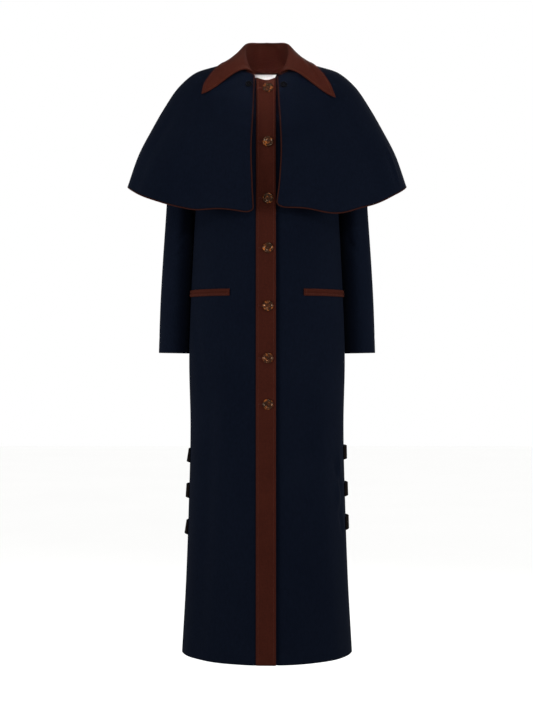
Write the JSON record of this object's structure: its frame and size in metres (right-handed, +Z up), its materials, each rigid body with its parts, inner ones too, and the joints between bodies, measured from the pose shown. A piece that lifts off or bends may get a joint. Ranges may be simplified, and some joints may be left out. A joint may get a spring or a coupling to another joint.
{
  "type": "caped coat",
  "caption": "Full-length navy coat, hollow as if worn, with an open-fronted shoulder cape, brown turn-down collar, button band, cape binding and pocket welts.",
  "frame": {"origin": "middle of the neck opening, level with the top of the shoulders, where the wearer's neck and shoulders hold the coat", "axes": "+Z up from hem to collar, front faces -Y, +X towards the wearer's left"},
  "size_m": [0.6524, 0.3362, 1.4379],
  "materials": {
    "navy_cloth": "matte napped wool-like cloth",
    "brown_trim": "matte short-napped cloth",
    "tab_cloth": "matte dark cloth",
    "white_label": "plain woven label, bare",
    "tortoiseshell": "polished, mottled",
    "black_button": "polished"
  },
  "bodies": {
    "root": {"back": "navy_cloth", "front_right": "navy_cloth", "front_left": "navy_cloth", "sleeve_right": "navy_cloth", "sleeve_left": "navy_cloth", "cape_front_right": "navy_cloth", "cape_front_left": "navy_cloth", "cape_back": "navy_cloth", "front_band": "brown_trim", "collar_stand": "brown_trim", "collar_leaf": "brown_trim", "cape_binding_front_right": "brown_trim", "cape_binding_front_left": "brown_trim", "cape_binding_back": "brown_trim", "pocket_welt_right": "brown_trim", "pocket_welt_left": "brown_trim", "side_tab_right_1": "tab_cloth", "side_tab_right_2": "tab_cloth", "side_tab_right_3": "tab_cloth", "side_tab_left_1": "tab_cloth", "side_tab_left_2": "tab_cloth", "side_tab_left_3": "tab_cloth", "label": "white_label", "button_1": "tortoiseshell", "button_2": "tortoiseshell", "button_3": "tortoiseshell", "button_4": "tortoiseshell", "button_5": "tortoiseshell", "button_6": "tortoiseshell", "button_7": "tortoiseshell", "cape_button_right": "black_button", "cape_button_left": "black_button"}
  },
  "joints": []
}
